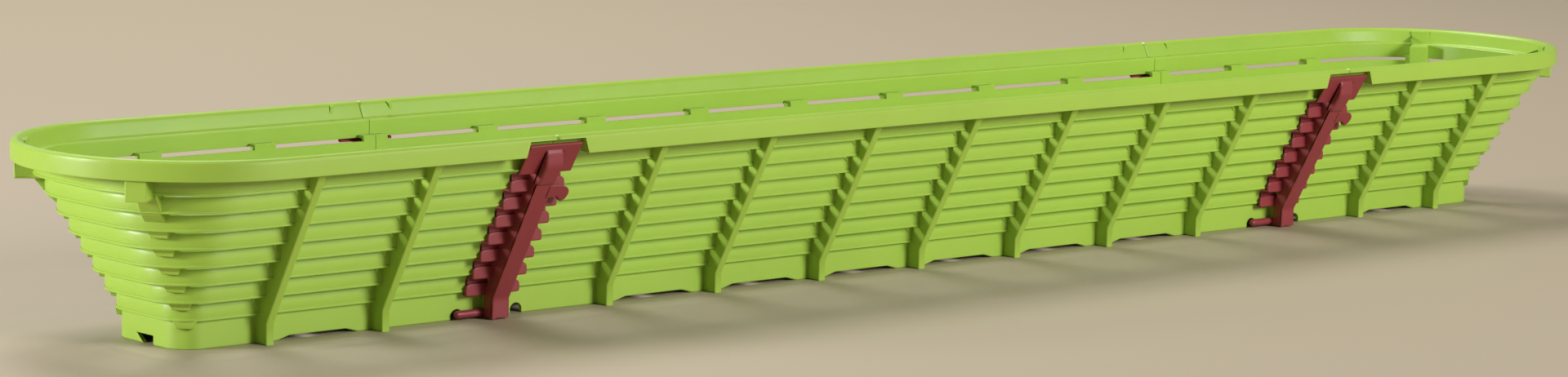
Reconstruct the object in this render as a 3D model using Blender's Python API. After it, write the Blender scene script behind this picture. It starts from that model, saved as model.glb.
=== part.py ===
"""A long bread proofing basket of moulded plastic, put together from three
open modules, a straight middle and two rounded ends, which four hinged clips
hold together. Metres, +Z up, the origin under the middle of the basket."""

import math

import bmesh
import bpy
from mathutils import Matrix

# Driving dimensions
middle_length = 0.500
end_length = 0.207
height = 0.083
rim_width = 0.144
foot_width = 0.050
foot_height = 0.012
wall = 0.0018
ring_count = 8
middle_bays = 8
end_fins = 2
seam_gap = 0.0003

# Rim: an upside-down channel round the mouth
rim_drop = 0.0086
flange = 0.0018
rim_groove = 0.0040
rim_groove_top = 0.0012
rim_top = 0.0018
shelf = 0.0012
top_ring_height = 0.0064

# Foot
foot_overhang = 0.0024
foot_rise = 0.0003
foot_lift = 0.0020
pad_half_length = 0.009
pad_slope = 0.006
end_notch_width = 0.012
end_notch_slant = 0.005
end_notch_height = 0.0039

# Rounds of the ends: the rim has one centre, the rings and the foot share another
rim_centre_reach = 0.0020
ring_centre_reach = 0.0135
ring_tip_inset = 0.0032
end_fin_margin = 0.0277
arc_steps = 8

# Air slots between the rings, and the bands that bridge them
slot_gap = 0.0011
lug_band_width = 0.010
band_lap = 0.0008
band_depth = 0.0004
seam_band_width = 0.0060
seam_band_inset = 0.0005
skin = 0.0002
floor_drop = 0.0002
floor_slot_width = 0.005
floor_slot_rows = 2
floor_slot_margin = 0.007

# Upright fins and the thin ribs at each seam
fin_thickness = 0.0042
fin_foot_reach = 0.0074
fin_top_inset = 0.0038
fin_knee = 0.009
fin_overlap_up = 0.0009
seam_rib_thickness = 0.0020
seam_rib_top_gap = 0.0014
seam_rib_inset = 0.0002

# Lugs and gussets of the rounded ends
lug_turn = math.radians(52.2)
lug_line_angle = math.radians(28)
lug_line_offset = 0.0055
lug_width = 0.0095
lug_height = 0.0086
lug_setback = 0.0016
lug_root = 0.0033
lug_panel_proud = 0.0006
gusset_drop = 0.0028
gusset_proud = 0.0012
gusset_lap = 0.0004

# Clip
window_width = 0.0292
window_spread = 0.0022
window_cheek = 0.0018
clip_width = 0.028
clip_clearance = 0.00035
clip_plate = 0.0015
clip_top_plate = 0.0018
clip_top_gap = 0.0010
clip_top_recess = 0.0003
spine_clearance = 0.0006
spine_wall = 0.0020
spine_side_wall = 0.0018
spine_side_clearance = 0.00035
spine_foot_gap = 0.0005
channel_head = 0.0010
flange_corner = 0.0022
flange_corner_height = 0.0030
block_rise = 0.0018
block_foot = 0.0125
block_foot_slope = 0.0016
block_top_drop = 0.0070
block_ramp = 0.0035
tab_reach = 0.0150
tab_thickness = 0.0022
tab_height = 0.0075
tab_drop = 0.0010
tab_round = 0.0035
tab_round_steps = 4
arch_offset = 0.016
arch_radius = 0.00325
arch_height = 0.0046
arm_radius = 0.00175
arm_clearance = 0.0003
arm_length = 0.0188
knuckle_radius = 0.00245
knuckle_half_width = 0.0016
hinge_height = 0.0025
round_sides = 12

overrun = 0.002
weld_distance = 0.00002
flat_angle = math.radians(0.05)

# Sizes that follow from the ones above
rim_half = rim_width / 2
rim_corner_radius = rim_half - rim_centre_reach
ring_centre_inset = rim_half - ring_centre_reach + ring_tip_inset
end_fin_pitch = (end_length - ring_centre_inset - end_fin_margin) / end_fins
foot_half = foot_width / 2
seam = middle_length / 2
tip = seam + end_length
rim_base = height - rim_drop
rim_wall_inset = flange + rim_groove
rim_wall_top_inset = flange + rim_groove_top
foot_inset = rim_half - foot_half
ring_pitch = (rim_base - top_ring_height - foot_height) / (ring_count - 1)
ring_step = (foot_inset - foot_overhang - rim_wall_inset) / ring_count
ring_height = ring_pitch - slot_gap
top_ring = ring_count - 1
floor_top = foot_height + shelf
floor_base = floor_top - wall
fin_pitch = middle_length / middle_bays
skirt_middle = foot_half - wall / 2
rib_pair_width = seam_gap + 2 * (seam_rib_inset + seam_rib_thickness)
channel_width = rib_pair_width + 2 * spine_side_clearance
spine_width = channel_width + 2 * spine_side_wall
hinge_reach = foot_half + arm_clearance + arm_radius

LIME = (0.355, 0.560, 0.090, 1.0)
DARK_RED = (0.270, 0.035, 0.042, 1.0)
GREEN_ROUGHNESS = 0.42
RED_ROUGHNESS = 0.38


def clear_scene():
    """Remove everything that the file holds."""
    for old in list(bpy.data.objects):
        bpy.data.objects.remove(old, do_unlink=True)


def new_collection(name):
    """A collection linked to the scene."""
    collection = bpy.data.collections.new(name)
    bpy.context.scene.collection.children.link(collection)
    return collection


def plastic(name, colour, roughness):
    """A plain moulded plastic."""
    material = bpy.data.materials.new(name)
    material.use_nodes = True
    shader = material.node_tree.nodes["Principled BSDF"]
    shader.inputs["Base Color"].default_value = colour
    shader.inputs["Roughness"].default_value = roughness
    shader.inputs["Metallic"].default_value = 0.0
    return material


def object_from(name, shape, collection):
    """Put a bmesh into a new object of a collection."""
    bmesh.ops.recalc_face_normals(shape, faces=shape.faces)
    mesh = bpy.data.meshes.new(name)
    shape.to_mesh(mesh)
    shape.free()
    mesh.shade_flat()
    made = bpy.data.objects.new(name, mesh)
    collection.objects.link(made)
    return made


def as_cutter(made):
    """Hide an object that only cuts or joins another."""
    made.hide_render = True
    made.display_type = "WIRE"
    return made


def combine(target, tool, operation):
    """Cut a tool from a target, or join the two."""
    as_cutter(tool)
    step = target.modifiers.new(tool.name, "BOOLEAN")
    step.operation = operation
    step.object = tool
    step.solver = "EXACT"


# Which way a flat outline is extruded: along X from (y, z), or along Y from (x, z)
ACROSS_X = Matrix(((0, 0, 1, 0), (1, 0, 0, 0), (0, 1, 0, 0), (0, 0, 0, 1)))
ACROSS_Y = Matrix(((1, 0, 0, 0), (0, 0, -1, 0), (0, 1, 0, 0), (0, 0, 0, 1)))


def add_plate(shape, outline, thickness, direction, offset):
    """Add a flat outline, extruded to both sides of a plane, to a bmesh."""
    curve = bpy.data.curves.new("outline", "CURVE")
    curve.dimensions = "2D"
    curve.fill_mode = "BOTH"
    curve.extrude = thickness / 2
    line = curve.splines.new("POLY")
    line.points.add(len(outline) - 1)
    for point, (first, second) in zip(line.points, outline):
        point.co = (first, second, 0, 1)
    line.use_cyclic_u = True
    holder = bpy.data.objects.new("outline", curve)
    bpy.context.scene.collection.objects.link(holder)
    state = bpy.context.evaluated_depsgraph_get()
    mesh = bpy.data.meshes.new_from_object(holder.evaluated_get(state))
    plate = bmesh.new()
    plate.from_mesh(mesh)
    bmesh.ops.remove_doubles(plate, verts=plate.verts, dist=weld_distance)
    bmesh.ops.dissolve_limit(plate, angle_limit=flat_angle, verts=plate.verts, edges=plate.edges)
    bmesh.ops.transform(plate, matrix=Matrix.Translation(offset) @ direction, verts=plate.verts)
    plate.to_mesh(mesh)
    plate.free()
    shape.from_mesh(mesh)
    bpy.data.objects.remove(holder, do_unlink=True)
    bpy.data.meshes.remove(mesh)
    bpy.data.curves.remove(curve)


def add_box(shape, low, high):
    """Add a box between two corners to a bmesh."""
    size = [b - a for a, b in zip(low, high)]
    middle = [(a + b) / 2 for a, b in zip(low, high)]
    place = Matrix.Translation(middle) @ Matrix.Diagonal((*size, 1))
    bmesh.ops.create_cube(shape, size=1, matrix=place)


def add_sweep(shape, section, stations):
    """Add a closed section of (inset, height) points, carried along plan stations."""
    rows = []
    for station in stations:
        row = []
        for inset, level in section:
            x, y = station(inset)
            row.append(shape.verts.new((x, y, level)))
        rows.append(row)
    count = len(section)
    for row, following in zip(rows, rows[1:]):
        for index in range(count):
            after = (index + 1) % count
            shape.faces.new((row[index], row[after], following[after], following[index]))
    shape.faces.new(rows[0])
    shape.faces.new(list(reversed(rows[-1])))


def corner_place(inset, turn):
    """A point of the end's corner arc, turn running from the side to the tip."""
    if inset > rim_wall_inset + wall:
        centre_x, centre_y = tip - ring_centre_inset, ring_centre_reach
    else:
        centre_x, centre_y = tip - rim_corner_radius, rim_centre_reach
    radius = rim_half - inset - centre_y
    return centre_x + radius * math.sin(turn), -(centre_y + radius * math.cos(turn))


def on_side(x):
    """A plan station on the straight side at x."""
    return lambda inset: (x, inset - rim_half)


def on_corner(turn):
    """A plan station on the corner, which is a polygon of arc_steps sides."""
    step = math.pi / 2 / arc_steps
    low = min(int(turn / step + flat_angle), arc_steps - 1)
    share = turn / step - low

    def place(inset):
        start = corner_place(inset, low * step)
        end = corner_place(inset, (low + 1) * step)
        return tuple(a + (b - a) * share for a, b in zip(start, end))

    return place


def corner_stations(first, last):
    """Stations from one turn of the corner to another, with the polygon's corners."""
    step = math.pi / 2 / arc_steps
    turns = [first]
    for index in range(arc_steps + 1):
        if first + flat_angle < index * step < last - flat_angle:
            turns.append(index * step)
    turns.append(last)
    return [on_corner(turn) for turn in turns]


def other_side(station):
    """The same station on the back of the basket."""
    def place(inset):
        x, y = station(inset)
        return x, -y
    return place


def both_sides(stations):
    """A path and its mirror image, joined across the tip."""
    return stations + [other_side(station) for station in reversed(stations)]


def ring_inset(ring):
    """Inset of a ring's outer face, counted from the lowest ring."""
    return foot_inset - foot_overhang - ring * ring_step


def lip(ring):
    """Height of a ring's lower lip."""
    return foot_height + ring * ring_pitch


def rim_section():
    """The top ring, its ledge and the rim's channel, as (inset, height) points."""
    outer = ring_inset(top_ring)
    inner = outer + wall
    return [
        (outer, lip(top_ring)),
        (outer, rim_base),
        (rim_wall_inset, rim_base),
        (rim_wall_top_inset, height - rim_top),
        (flange, height - rim_top),
        (flange, rim_base),
        (0, rim_base),
        (0, height),
        (rim_wall_top_inset + wall, height),
        (rim_wall_inset + wall, rim_base + shelf),
        (inner, rim_base + shelf),
        (inner, lip(top_ring)),
    ]


def ring_section(ring):
    """A plain ring between two slots."""
    outer = ring_inset(ring)
    top = lip(ring) + ring_height
    return [(outer, lip(ring)), (outer, top), (outer + wall, top), (outer + wall, lip(ring))]


def foot_line():
    """The foot's outside and the lowest ring, down to the edge of the floor."""
    outer = ring_inset(0)
    top = lip(0) + ring_height
    return [
        (foot_inset, 0),
        (foot_inset, foot_height + foot_rise),
        (outer, foot_height),
        (outer, top),
        (outer + wall, top),
        (outer + wall, floor_top),
    ]


def band_section(ring):
    """A band just inside the faces of a ring and the one above, bridging their slot."""
    outer, inner = ring_inset(ring) + skin, ring_inset(ring) + wall - band_depth
    above = ring_inset(ring + 1) + skin
    low = lip(ring) + ring_height - band_lap
    level, top = lip(ring + 1) + skin, lip(ring + 1) + shelf - skin
    return [(outer, low), (outer, level), (above, level), (above, top), (inner, top), (inner, low)]


def across(section, side):
    """Turn (inset, height) points into (y, z) on the front (-1) or the back (1)."""
    return [(side * (rim_half - inset), level) for inset, level in section]


def fin_edge(level):
    """How far a fin's outer edge stands from the middle plane at a height."""
    foot = foot_half + fin_foot_reach
    top = rim_half - fin_top_inset
    climb = max(level - fin_knee, 0) / (rim_base - fin_knee)
    return foot + (top - foot) * climb


def fin_section(top):
    """A fin from the table up to a height, which bridges the slots through the wall."""
    section = [
        (rim_half - fin_edge(0), 0),
        (rim_half - fin_edge(0), fin_knee),
        (rim_half - fin_edge(top), top),
    ]
    level = top
    if top > rim_base:
        level = rim_base + shelf / 2
        section += [(rim_wall_inset + wall / 2, top), (rim_wall_inset + wall / 2, level)]
    depth = wall - skin
    for ring in range(top_ring, -1, -1):
        section.append((ring_inset(ring) + depth, level))
        level = lip(ring) + shelf - skin if ring else lip(ring) + shelf / 2
        section.append((ring_inset(ring) + depth, level))
    return section + [(foot_inset + wall / 2, level), (foot_inset + wall / 2, 0)]


def add_uprights(shape, section, places, thickness):
    """Add a plate across the basket to both sides at each place along it."""
    for x in places:
        for side in (-1, 1):
            add_plate(shape, across(section, side), thickness, ACROSS_X, (x, 0, 0))


def add_seam_plates(shape, section, ends, inset, thickness):
    """Add a plate on both sides just inside each seam end, given as (x, outward way)."""
    places = [x - way * (inset + thickness / 2) for x, way in ends]
    add_uprights(shape, section, places, thickness)


def window_side(level):
    """Half the width of a clip window at a height; its sides spread downwards."""
    under_top = height - rim_top - skin
    return window_width / 2 + window_spread * (under_top - level) / (under_top - rim_base)


def add_cheeks(shape, seams):
    """The small walls that close the rim's groove beside each clip window, their inner
    side leaning with the rim's wall."""
    far = rim_half - flange / 2
    low, high = rim_base + skin, height - rim_top / 2
    for seam_x, way in seams:
        for side in (-1, 1):
            made = bmesh.ops.create_cube(shape, size=1)["verts"]
            for corner in made:
                across, along, up = corner.co
                level = low if up < 0 else high
                edge = window_side(level) + skin + (window_cheek if across > 0 else 0)
                wall_inset = rim_wall_inset if up < 0 else rim_wall_top_inset
                near = rim_half - wall_inset - wall / 2
                corner.co = (seam_x + way * edge, side * (near if along < 0 else far), level)


def add_windows(shape, seams):
    """Cut shapes of the clip windows in the rim's flange."""
    near = rim_half - flange - rim_groove_top / 2
    far = rim_half + overrun
    low, high = rim_base - overrun, height - rim_top - skin
    for x in seams:
        outline = [
            (x - window_side(low), low),
            (x + window_side(low), low),
            (x + window_side(high), high),
            (x - window_side(high), high),
        ]
        for side in (-1, 1):
            add_plate(shape, outline, far - near, ACROSS_Y, (0, side * (near + far) / 2, 0))


def add_arches(shape, seams):
    """Cut shapes of the arched notches beside each seam."""
    straight = arch_height - arch_radius
    outline = [(-arch_radius, -overrun), (arch_radius, -overrun)]
    for index in range(arc_steps + 1):
        angle = math.pi * index / arc_steps
        outline.append((arch_radius * math.cos(angle), straight + arch_radius * math.sin(angle)))
    for x in seams:
        for place in (x - arch_offset, x + arch_offset):
            for side in (-1, 1):
                add_plate(shape, outline, wall + overrun, ACROSS_Y, (place, side * skirt_middle, 0))


def add_foot_lifts(shape, fins):
    """Cut shapes that lift the foot off the table between neighbouring fins."""
    for low, high in zip(fins, fins[1:]):
        first, last = low + pad_half_length, high - pad_half_length
        outline = [
            (first, -overrun),
            (last, -overrun),
            (last - pad_slope, foot_lift),
            (first + pad_slope, foot_lift),
        ]
        for side in (-1, 1):
            add_plate(shape, outline, wall + overrun, ACROSS_Y, (0, side * skirt_middle, 0))


def add_floor_slots(shape, places):
    """Cut shapes of the drain slots across the floor."""
    span = foot_width - 2 * wall - floor_slot_margin
    length = (span - (floor_slot_rows - 1) * floor_slot_margin) / floor_slot_rows
    for x in places:
        for row in range(floor_slot_rows):
            low = row * (length + floor_slot_margin) - span / 2
            add_box(
                shape,
                (x - floor_slot_width / 2, low, floor_base - overrun),
                (x + floor_slot_width / 2, low + length, floor_top + overrun),
            )


def make_middle(collection, cutters, material):
    """The straight module: rings, rim and foot on both sides, a floor between them."""
    length = middle_length - seam_gap
    fins_at = [bay * fin_pitch - seam for bay in range(1, middle_bays)]
    ends = ((length / 2, 1), (-length / 2, -1))

    body = bmesh.new()
    front, back = across(foot_line(), -1), across(foot_line(), 1)
    inside = [(foot_half - wall, 0), (foot_half - wall, floor_base)]
    inside += [(wall - foot_half, floor_base), (wall - foot_half, 0)]
    add_plate(body, front + list(reversed(back)) + inside, length, ACROSS_X, (0, 0, 0))
    for section in [ring_section(ring) for ring in range(1, top_ring)] + [rim_section()]:
        add_uprights(body, section, (0,), length)
    module = object_from("middle_module", body, collection)

    bands = bmesh.new()
    for ring in range(top_ring):
        add_seam_plates(bands, band_section(ring), ends, seam_band_inset, seam_band_width)
    combine(module, object_from("middle_bands", bands, cutters), "UNION")

    fins = bmesh.new()
    add_uprights(fins, fin_section(rim_base + fin_overlap_up), fins_at, fin_thickness)
    ribs = fin_section(rim_base - seam_rib_top_gap)
    add_seam_plates(fins, ribs, ends, seam_rib_inset, seam_rib_thickness)
    add_cheeks(fins, ((seam, -1), (-seam, 1)))
    combine(module, object_from("middle_fins", fins, cutters), "UNION")

    cuts = bmesh.new()
    add_windows(cuts, (-seam, seam))
    add_arches(cuts, (-seam, seam))
    add_foot_lifts(cuts, fins_at)
    add_floor_slots(cuts, [(bay + 0.5) * fin_pitch - seam for bay in range(middle_bays)])
    combine(module, object_from("middle_cuts", cuts, cutters), "DIFFERENCE")
    module.data.materials.append(material)
    return module


def end_path(start):
    """Stations of the whole rounded end, from the seam round to the seam."""
    return both_sides([on_side(start)] + corner_stations(0, math.pi / 2))


def add_lug_pieces(shape, section, ring, width):
    """Add a piece that follows a ring over a width, on the lug lines of both corners."""
    radius = rim_half - ring_inset(ring) - ring_centre_reach
    turn = math.pi / 2 - lug_line_angle - math.asin(lug_line_offset / radius)
    half_turn = width / 2 / radius
    stations = [on_corner(turn - half_turn), on_corner(turn), on_corner(turn + half_turn)]
    add_sweep(shape, section, stations)
    add_sweep(shape, section, [other_side(station) for station in stations])


def add_lugs(shape):
    """The two square lugs, each a plate square to the rim."""
    for side in (-1, 1):
        outline = [(side * (rim_corner_radius - inset), level) for inset, level in lug_section()]
        spin = Matrix.Rotation(-side * lug_turn, 4, "Z") @ ACROSS_X
        place = (tip - rim_corner_radius, side * rim_centre_reach, 0)
        add_plate(shape, outline, lug_width, spin, place)


def lug_section():
    """The square lug under the rim, filling its groove, its root in the top ring."""
    inner = ring_inset(top_ring) + lug_root
    groove, groove_top = rim_wall_inset + wall / 2, rim_wall_top_inset + wall / 2
    low, level, high = rim_base - lug_height, rim_base + shelf / 2, height - rim_top / 2
    return [
        (lug_setback, low),
        (inner, low),
        (inner, level),
        (groove, level),
        (groove_top, high),
        (flange / 2, high),
        (flange / 2, level),
        (lug_setback, level),
    ]


def lug_panel_section():
    """The slanting panel under a lug, over the two rings below it."""
    upper, lower = top_ring - 1, top_ring - 2
    root = ring_inset(top_ring) + gusset_lap
    return [
        (root, rim_base - lug_height + gusset_lap),
        (ring_inset(lower) - lug_panel_proud, lip(lower) + shelf / 2),
        (ring_inset(lower) + wall / 2, lip(lower) + shelf / 2),
        (ring_inset(lower) + wall / 2, lip(upper) + shelf / 2),
        (ring_inset(upper) + wall / 2, lip(upper) + shelf / 2),
        (ring_inset(upper) + wall / 2, lip(top_ring) + shelf / 2),
        (root, lip(top_ring) + shelf / 2),
    ]


def gusset_section(ring):
    """The small gusset under a ring's lip, against the ring below or the foot."""
    above = ring_inset(ring) + gusset_lap
    below = ring_inset(ring - 1) if ring else foot_inset
    return [
        (above, lip(ring) + gusset_lap),
        (above, lip(ring)),
        (below - gusset_proud, lip(ring) - gusset_drop),
        (below + wall / 2, lip(ring) - gusset_drop),
        (below + wall / 2, lip(ring) + gusset_lap),
    ]


def add_end_notch(shape):
    """Cut shape of the notch under the rounded end, one side of it slanting."""
    foot_tip = tip - ring_centre_inset + foot_half - ring_centre_reach
    half = end_notch_width / 2
    slant = end_notch_slant * (end_notch_height + overrun) / end_notch_height
    outline = [(half, end_notch_height), (half, -overrun)]
    outline += [(slant - half, -overrun), (-half, end_notch_height)]
    add_plate(shape, outline, wall + 2 * overrun, ACROSS_X, (foot_tip - wall / 2, 0, 0))


def end_shapes():
    """The parts of the right end module, by name."""
    start = seam + seam_gap / 2
    fins_at = [seam + (bay + 1) * end_fin_pitch for bay in range(end_fins)]
    ends = ((start, -1),)
    path = end_path(start)

    body = bmesh.new()
    add_sweep(body, foot_line() + [(foot_inset + wall, floor_top), (foot_inset + wall, 0)], path)
    for section in [ring_section(ring) for ring in range(1, top_ring)] + [rim_section()]:
        add_sweep(body, section, path)

    bands = bmesh.new()
    for ring in range(top_ring):
        add_seam_plates(bands, band_section(ring), ends, seam_band_inset, seam_band_width)
        add_lug_pieces(bands, band_section(ring), ring, lug_band_width)
    edge = [station(foot_inset + wall / 2) for station in end_path(start + skin)]
    middle = (floor_top + floor_base) / 2 - floor_drop
    add_plate(bands, edge, wall, Matrix.Identity(4), (0, 0, middle))

    fins = bmesh.new()
    add_uprights(fins, fin_section(rim_base + fin_overlap_up), fins_at, fin_thickness)
    ribs = fin_section(rim_base - seam_rib_top_gap)
    add_seam_plates(fins, ribs, ends, seam_rib_inset, seam_rib_thickness)
    add_cheeks(fins, ((seam, 1),))
    add_lugs(fins)
    for ring in range(top_ring - 1):
        add_lug_pieces(fins, gusset_section(ring), ring, lug_width - wall)

    panels = bmesh.new()
    add_lug_pieces(panels, lug_panel_section(), top_ring - 1, lug_width - wall / 2)

    cuts = bmesh.new()
    add_windows(cuts, (seam,))
    add_arches(cuts, (seam,))
    add_foot_lifts(cuts, fins_at)
    add_end_notch(cuts)
    add_floor_slots(cuts, [seam + (bay + 0.5) * end_fin_pitch for bay in range(end_fins)])
    return {"body": body, "bands": bands, "fins": fins, "panels": panels, "cuts": cuts}


def make_end(name, way, collection, cutters, material):
    """A rounded end module; way is 1 for the right end, -1 for the left one turned round."""
    shapes = end_shapes()
    for shape in shapes.values():
        bmesh.ops.transform(shape, matrix=Matrix.Diagonal((way, way, 1, 1)), verts=shape.verts)
    module = object_from(name, shapes["body"], collection)
    for label in ("bands", "fins", "panels", "cuts"):
        tool = object_from(f"{name}_{label}", shapes[label], cutters)
        combine(module, tool, "DIFFERENCE" if label == "cuts" else "UNION")
    module.data.materials.append(material)
    return module


def spine_edge(level):
    """Reach of the clip spine's inner face, outside the seam ribs."""
    return fin_edge(level) + spine_clearance


def spine_back(level):
    """Reach of the clip spine's outer face."""
    return spine_edge(level) + spine_wall


def clip_steps(cover):
    """The stepped line over the rings at a distance, as (reach, height), going up."""
    line = [(rim_half - ring_inset(0) + cover, foot_height - clip_clearance)]
    for ring in range(1, ring_count):
        level = lip(ring) - cover
        line.append((rim_half - ring_inset(ring - 1) + cover, level))
        line.append((rim_half - ring_inset(ring) + cover, level))
    return line


def top_plate_reach(level):
    """Reach of the slanting top plate's inner face at a height."""
    low = rim_half - ring_inset(top_ring) + clip_clearance
    seat = rim_half - rim_wall_inset + clip_clearance
    if level <= rim_base:
        drop = (rim_base - level) / (rim_base - lip(top_ring) + clip_clearance)
        return seat + (low - seat) * drop
    high = height - rim_top - clip_top_gap
    recess = rim_half - clip_top_recess - clip_top_plate
    return seat + (recess - seat) * (level - rim_base) / (high - rim_base)


def clip_plate_outline():
    """The clip's stepped plate from the lowest ring up into the rim's window."""
    inner = clip_steps(clip_clearance)
    outer = clip_steps(clip_clearance + clip_plate)
    for level in (rim_base, height - rim_top - clip_top_gap):
        inner.append((top_plate_reach(level), level))
        outer.append((top_plate_reach(level) + clip_top_plate, level))
    return outer + list(reversed(inner))


def spine_outline():
    """The spine's side view: a foot, the slanting back and the thicker thumb block."""
    block_base = rim_base - block_foot
    block_top = height - block_top_drop
    ramp_top = block_top + block_ramp
    back = [
        (spine_back(0), spine_foot_gap),
        (spine_back(0), fin_knee),
        (spine_back(block_base), block_base),
        (spine_back(block_base) + block_rise, block_base + block_foot_slope),
        (spine_back(block_top), block_top),
        (top_plate_reach(ramp_top) + clip_top_plate / 2, ramp_top),
        (top_plate_reach(rim_base) + clip_top_plate / 2, rim_base),
    ]
    front = clip_steps(clip_clearance + clip_plate / 2)
    foot = [(hinge_reach, foot_height - clip_clearance), (hinge_reach, spine_foot_gap)]
    return back + list(reversed(front)) + foot


def channel_outline():
    """What is cut out of the spine for the two seam ribs."""
    top = rim_base - seam_rib_top_gap + channel_head
    return [
        (spine_edge(0), -overrun),
        (spine_edge(0), fin_knee),
        (spine_edge(top), top),
        (rim_half - ring_inset(top_ring - 1), top),
        (foot_half - wall, foot_height),
        (foot_half - wall, -overrun),
    ]


def clip_frame(outline):
    """Turn (reach, height) into the clip's own (y, z), with the hinge axis at zero."""
    return [(hinge_reach - reach, level - hinge_height) for reach, level in outline]


def add_tab(shape):
    """The rounded finger tab that stands out sideways from the spine's back."""
    root = (channel_width + spine_side_wall) / 2
    low, high = -tab_height / 2, tab_height / 2
    outline = [(root, high), (root, low), (tab_reach - tab_round / 2, low)]
    for index in range(tab_round_steps + 1):
        angle = math.pi / 2 * index / tab_round_steps
        outline.append((
            tab_reach - tab_round + tab_round * math.cos(angle),
            high - tab_round + tab_round * math.sin(angle),
        ))
    middle = rim_base - block_foot - tab_drop - tab_height / 2
    slope = math.atan2(spine_back(rim_base) - spine_back(fin_knee), rim_base - fin_knee)
    place = clip_frame([(spine_back(middle) - tab_thickness / 2, middle)])[0]
    add_plate(shape, outline, tab_thickness, ACROSS_Y, (0, 0, 0))
    lean = Matrix.Translation((0, *place)) @ Matrix.Rotation(slope, 4, "X")
    bmesh.ops.transform(shape, matrix=lean, verts=shape.verts)


def add_corner_cuts(shape):
    """Cut shapes that slope off the upper corners of each stepped flange."""
    edge = clip_width / 2
    for ring in range(1, ring_count):
        top = lip(ring) - clip_clearance - clip_plate - hinge_height
        inner = hinge_reach - rim_half + ring_inset(ring - 1)
        outer = inner - clip_clearance - clip_plate - overrun
        for way in (-1, 1):
            outline = [
                (way * (edge - flange_corner), top + skin),
                (way * (edge + overrun), top + skin),
                (way * (edge + overrun), top - flange_corner_height),
                (way * edge, top - flange_corner_height),
            ]
            add_plate(shape, outline, inner - outer, ACROSS_Y, (0, (inner + outer) / 2, 0))


def add_bar(shape, radius, low, high):
    """Add a round bar on the hinge axis between two places along it."""
    place = Matrix.Translation(((low + high) / 2, 0, 0)) @ Matrix.Rotation(math.pi / 2, 4, "Y")
    bmesh.ops.create_cone(
        shape, cap_ends=True, segments=round_sides, radius1=radius, radius2=radius,
        depth=high - low, matrix=place,
    )


def clip_mesh(cutters, material):
    """One clip, with its hinge axis along X through its origin."""
    names = ("plate", "spine", "corners", "channel", "tab", "arm", "knuckle")
    shapes = {name: bmesh.new() for name in names}
    add_plate(shapes["plate"], clip_frame(clip_plate_outline()), clip_width, ACROSS_X, (0, 0, 0))
    add_plate(shapes["spine"], clip_frame(spine_outline()), spine_width, ACROSS_X, (0, 0, 0))
    add_corner_cuts(shapes["corners"])
    add_plate(shapes["channel"], clip_frame(channel_outline()), channel_width, ACROSS_X, (0, 0, 0))
    add_tab(shapes["tab"])
    add_bar(shapes["arm"], arm_radius, -arm_length, -(channel_width + spine_side_wall) / 2)
    low = -arch_offset - knuckle_half_width
    add_bar(shapes["knuckle"], knuckle_radius, low, low + 2 * knuckle_half_width)
    clip = object_from("clip_plate", shapes["plate"], cutters)
    for name in names[1:]:
        tool = object_from(f"clip_{name}", shapes[name], cutters)
        combine(clip, tool, "DIFFERENCE" if name in ("corners", "channel") else "UNION")

    state = bpy.context.evaluated_depsgraph_get()
    mesh = bpy.data.meshes.new_from_object(clip.evaluated_get(state))
    mesh.name = "clip"
    mesh.materials.clear()
    mesh.materials.append(material)
    as_cutter(clip)
    return mesh


def place_clips(mesh, collection):
    """Four clips, each with its origin on its hinge axis at the foot."""
    for row, side in (("front", -1), ("back", 1)):
        for column, way in (("left", -1), ("right", 1)):
            clip = bpy.data.objects.new(f"clip_{row}_{column}", mesh)
            clip.location = (way * seam, side * hinge_reach, hinge_height)
            clip.rotation_euler = (0, 0, 0 if side < 0 else math.pi)
            collection.objects.link(clip)


def main():
    """Build the basket."""
    clear_scene()
    basket = new_collection("bread_proofing_basket")
    cutters = new_collection("cutters")
    green = plastic("lime_plastic", LIME, GREEN_ROUGHNESS)
    red = plastic("dark_red_plastic", DARK_RED, RED_ROUGHNESS)
    make_middle(basket, cutters, green)
    make_end("end_module_left", -1, basket, cutters, green)
    make_end("end_module_right", 1, basket, cutters, green)
    place_clips(clip_mesh(cutters, red), basket)


main()
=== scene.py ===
"""The looks of a long bread proofing basket: three open mouldings of lime green
plastic, a straight middle and two rounded ends, held together by four dark red
clips. Sizes are in millimetres here and become metres when a mesh is made."""

import math

import bpy
import numpy as np
from mathutils import Matrix, Vector


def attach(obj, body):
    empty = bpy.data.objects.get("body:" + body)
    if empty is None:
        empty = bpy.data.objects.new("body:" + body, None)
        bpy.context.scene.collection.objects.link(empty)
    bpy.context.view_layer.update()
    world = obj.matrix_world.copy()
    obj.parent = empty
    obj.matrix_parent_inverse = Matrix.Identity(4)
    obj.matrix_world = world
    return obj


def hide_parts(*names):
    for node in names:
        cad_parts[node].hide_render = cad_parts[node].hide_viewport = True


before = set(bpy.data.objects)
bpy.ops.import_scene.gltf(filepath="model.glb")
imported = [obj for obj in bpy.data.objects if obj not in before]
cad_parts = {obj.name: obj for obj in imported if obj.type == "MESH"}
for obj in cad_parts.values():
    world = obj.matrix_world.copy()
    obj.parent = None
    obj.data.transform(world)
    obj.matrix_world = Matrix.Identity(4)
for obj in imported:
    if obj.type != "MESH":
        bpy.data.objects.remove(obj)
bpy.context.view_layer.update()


# The camera
# It stands low at the front left, looks along the basket, and is rolled a little.
yaw, pitch, roll = math.radians(42.10), math.radians(7.82), math.radians(1.40)
picture_width, focal_pixels, film_width = 1920, 5462.3, 36
heading = Vector((math.sin(yaw), math.cos(yaw), 0))
ahead = heading * math.cos(pitch) - Vector((0, 0, math.sin(pitch)))
level_right = Vector((math.cos(yaw), -math.sin(yaw), 0))
level_up = level_right.cross(ahead)
right = level_right * math.cos(roll) + level_up * math.sin(roll)
up = level_up * math.cos(roll) - level_right * math.sin(roll)
camera = bpy.data.objects.new("camera", bpy.data.cameras.new("camera"))
bpy.context.collection.objects.link(camera)
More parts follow.
